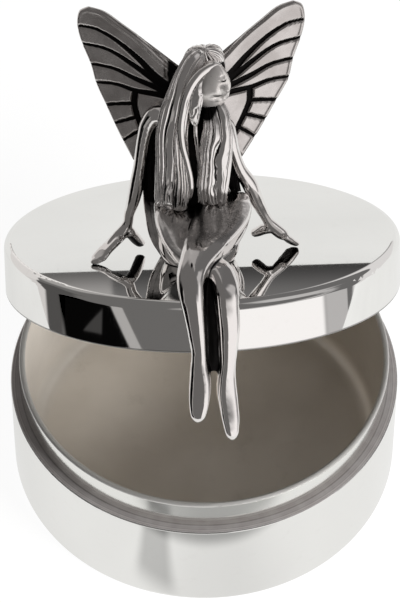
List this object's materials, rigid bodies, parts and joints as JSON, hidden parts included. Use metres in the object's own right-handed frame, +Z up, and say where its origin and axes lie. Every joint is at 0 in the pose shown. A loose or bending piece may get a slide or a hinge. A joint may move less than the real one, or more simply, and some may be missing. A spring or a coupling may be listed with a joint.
{
  "type": "keepsake box with a hinged lid",
  "caption": "Small round polished-metal keepsake box with a hinged slip lid and a seated winged figure cast on top.",
  "frame": {"origin": "centre of the flat base, on the table", "axes": "+Z up along the box's axis, the hinge at +Y, the figure faces -Y; the lid stands half open at rest"},
  "size_m": [0.032, 0.0347, 0.0423],
  "materials": {
    "polished_silver": "mirror-polished silver plate",
    "satin_silver": "satin silver inside",
    "oxidised_silver": "polished casting with darkened crevices",
    "wing_silver": "satin casting with darkened engraved veins",
    "pin_steel": "drawn wire"
  },
  "bodies": {
    "box": {"box_wall": "polished_silver", "base_plate": "polished_silver", "inner_cup": "satin_silver", "box_knuckle_left": "polished_silver", "box_knuckle_right": "polished_silver", "hinge_pin": "pin_steel"},
    "lid": {"lid_shell": "polished_silver", "lid_knuckle": "polished_silver", "seated_figure": "oxidised_silver", "wing_left": "wing_silver", "wing_right": "wing_silver"}
  },
  "joints": [
    {"name": "lid_hinge", "type": "hinge", "parent": "box", "child": "lid", "pos_m": [0, 0.01696, 0.0095], "axis": [-1, 0, 0], "range_deg": [-31.5, 68.5]}
  ]
}
